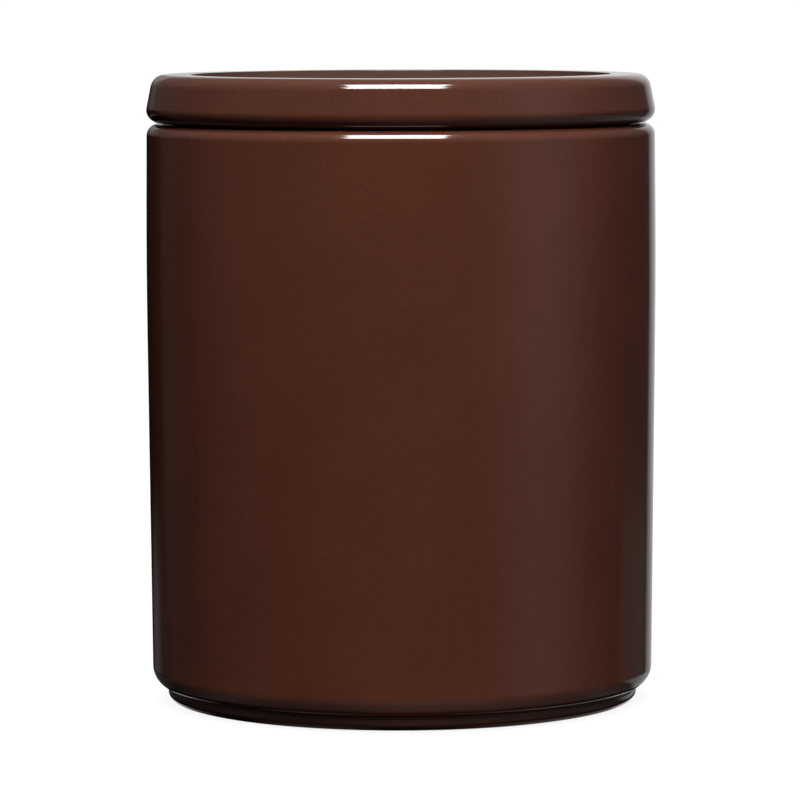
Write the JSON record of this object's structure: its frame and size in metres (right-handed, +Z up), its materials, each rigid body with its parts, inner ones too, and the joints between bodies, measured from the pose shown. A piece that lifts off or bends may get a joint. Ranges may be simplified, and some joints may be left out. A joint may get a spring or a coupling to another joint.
{
  "type": "storage jar",
  "caption": "Round glazed ceramic storage jar with a stepped foot and a lift-off lid that has a recessed top and a sealed spigot.",
  "frame": {"origin": "centre of the foot ring, on the surface that the jar stands on", "axes": "+Z up along the jar's axis; +X and +Y lie level, and the jar looks the same all round"},
  "size_m": [0.1252, 0.1252, 0.1541],
  "materials": {
    "brown_glaze": "gloss",
    "silicone": "satin"
  },
  "bodies": {
    "jar": {"jar_body": "brown_glaze"},
    "seal": {"seal_ring": "silicone"},
    "lid": {"lid": "brown_glaze"}
  },
  "joints": [
    {"name": "lid_lift", "type": "slide", "parent": "jar", "child": "seal", "axis": [0, 0, 1], "range_m": [0, 0.15]},
    {"name": "lid_turn", "type": "hinge", "parent": "seal", "child": "lid", "pos_m": [0, 0, 0.1421], "axis": [0, 0, 1], "continuous": true}
  ]
}
